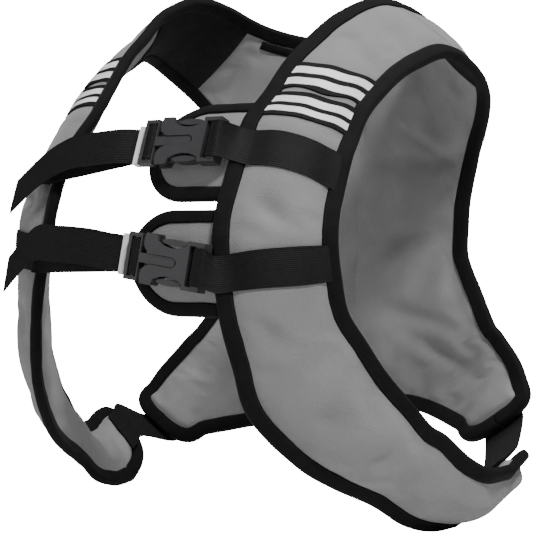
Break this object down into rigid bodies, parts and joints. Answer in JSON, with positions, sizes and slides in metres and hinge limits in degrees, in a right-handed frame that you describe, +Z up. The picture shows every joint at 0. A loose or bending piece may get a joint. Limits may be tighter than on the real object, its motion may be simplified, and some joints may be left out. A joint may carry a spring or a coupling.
{
  "type": "weighted vest",
  "caption": "Padded weighted vest in its worn form, with bound edges, side-release buckles, reflective stripes and elastic side straps.",
  "frame": {"origin": "seat on the shoulders, midway between them", "axes": "+Z up, front of the chest towards -Y, the wearer's left towards +X"},
  "size_m": [0.3934, 0.3214, 0.3944],
  "materials": {
    "padded_cloth": "matt knitted face over foam",
    "binding_tape": "matt folded tape",
    "webbing": "ribbed weave",
    "reflective_stripe": "smooth reflective film",
    "keeper_elastic": "fine elastic",
    "buckle_plastic": "satin"
  },
  "bodies": {
    "root": {"front_panel_left": "padded_cloth", "front_panel_right": "padded_cloth", "back_panel": "padded_cloth", "binding_neckline": "binding_tape", "binding_armhole_left": "binding_tape", "binding_armhole_right": "binding_tape", "binding_hem": "binding_tape", "neck_tape": "binding_tape", "shoulder_lining_left": "binding_tape", "side_strap_left": "webbing", "tape_left_upper": "webbing", "strap_left_upper": "webbing", "stripe_left_upper_a": "reflective_stripe", "stripe_left_upper_b": "reflective_stripe", "tape_left_lower": "webbing", "strap_left_lower": "webbing", "stripe_left_lower_a": "reflective_stripe", "stripe_left_lower_b": "reflective_stripe", "shoulder_lining_right": "binding_tape", "side_strap_right": "webbing", "tape_right_upper": "webbing", "strap_right_upper": "webbing", "stripe_right_upper_a": "reflective_stripe", "stripe_right_upper_b": "reflective_stripe", "tape_right_lower": "webbing", "strap_right_lower": "webbing", "stripe_right_lower_a": "reflective_stripe", "stripe_right_lower_b": "reflective_stripe", "buckle_female_upper": "buckle_plastic", "buckle_male_upper": "buckle_plastic", "keeper_upper": "keeper_elastic", "buckle_pad_upper": "padded_cloth", "pad_binding_upper": "binding_tape", "buckle_female_lower": "buckle_plastic", "buckle_male_lower": "buckle_plastic", "keeper_lower": "keeper_elastic", "buckle_pad_lower": "padded_cloth", "pad_binding_lower": "binding_tape"}
  },
  "joints": []
}
